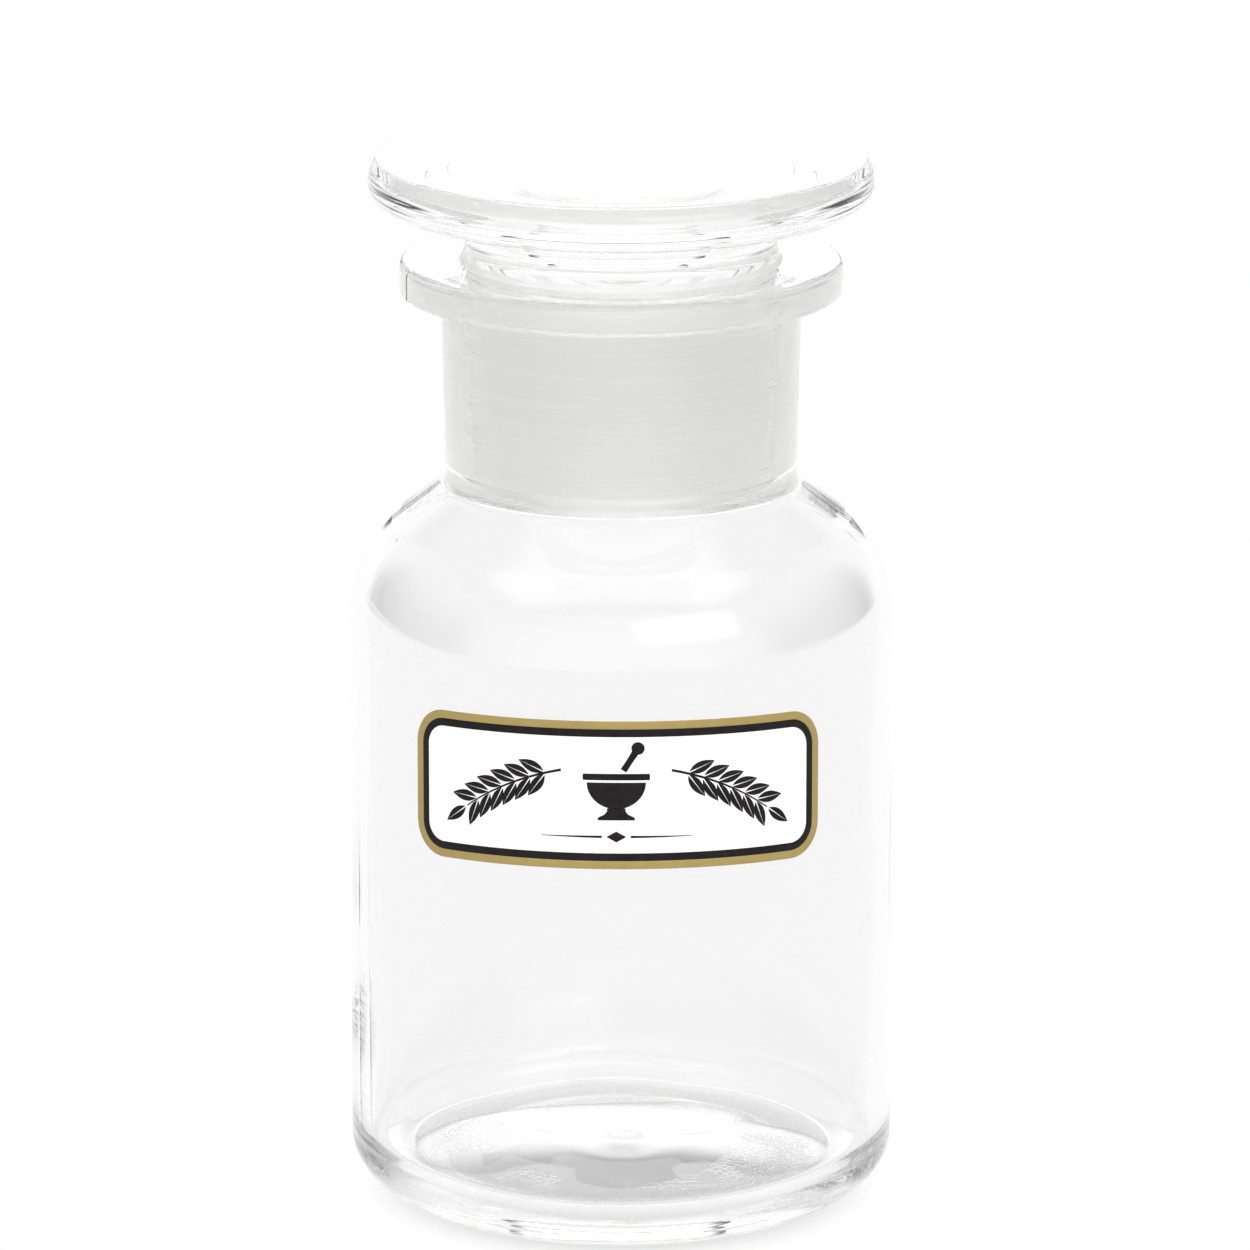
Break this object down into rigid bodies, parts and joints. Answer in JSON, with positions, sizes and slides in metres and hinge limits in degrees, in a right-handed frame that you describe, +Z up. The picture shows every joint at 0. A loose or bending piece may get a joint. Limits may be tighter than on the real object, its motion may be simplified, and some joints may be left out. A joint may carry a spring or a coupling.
{
  "type": "apothecary jar",
  "caption": "Wide-mouth clear glass bottle with a rolled flange, a ground neck joint and a flat-headed hollow glass stopper, with a bordered label on its front.",
  "frame": {"origin": "centre of the ring that the jar stands on, on the jar's axis", "axes": "+Z up along the jar's axis, +X to the right as the label is faced, -Y out of the label"},
  "size_m": [0.07, 0.0703, 0.1369],
  "materials": {
    "clear_glass": "clear, fire-polished outside, ground matt in the neck and on the plug",
    "label_white": "smooth white label stock",
    "label_black": "black print",
    "label_gold": "dull gold print"
  },
  "bodies": {
    "bottle": {"bottle": "clear_glass", "label_field": "label_white", "label_black_line": "label_black", "label_gold_band": "label_gold", "label_ornament": "label_black"},
    "stopper": {"stopper": "clear_glass"}
  },
  "joints": [
    {"name": "stopper_lift", "type": "slide", "parent": "bottle", "child": "stopper", "axis": [0, 0, 1], "range_m": [0, 0.08]}
  ]
}
